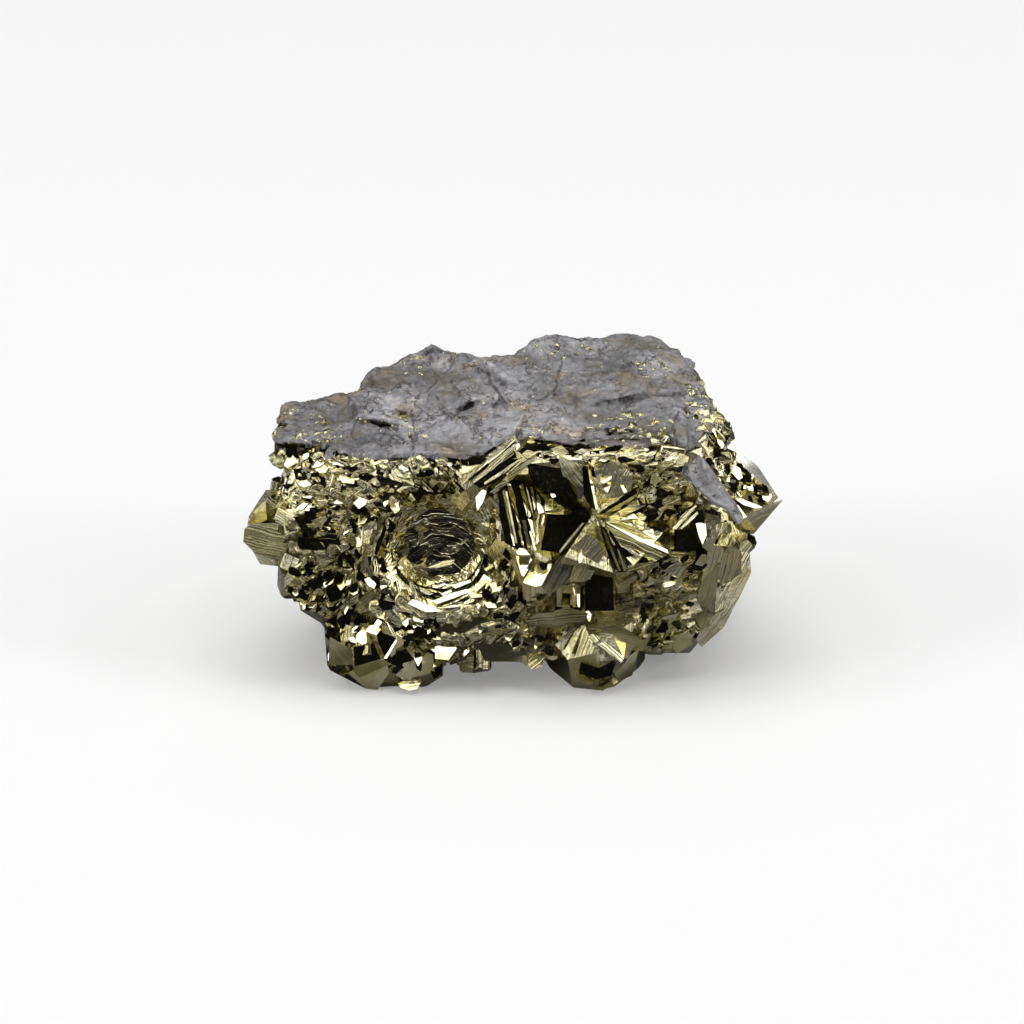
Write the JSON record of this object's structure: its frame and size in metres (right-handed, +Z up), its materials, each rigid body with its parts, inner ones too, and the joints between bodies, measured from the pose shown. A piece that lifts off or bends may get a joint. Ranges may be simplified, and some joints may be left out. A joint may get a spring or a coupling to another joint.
{
  "type": "pyrite specimen",
  "caption": "Natural pyrite cluster: intergrown brassy cubes, pyritohedra and striated blades, with a star-like group and a stepped round hollow in front and a dull grey crust on top",
  "frame": {"origin": "on the ground, under the middle of the specimen's bounding box; the feet are flat at z = 0", "axes": "+Z up, +X along the specimen's length to the viewer's right, -Y the front with the star and the round hollow"},
  "size_m": [0.0458, 0.0296, 0.0244],
  "materials": {
    "pyrite": "pale brass, bright flat crystal faces with fine striations",
    "grey_crust": "dull, rough grey mineral crust on the top"
  },
  "bodies": {
    "root": {"pyrite_specimen": "pyrite"}
  },
  "joints": []
}
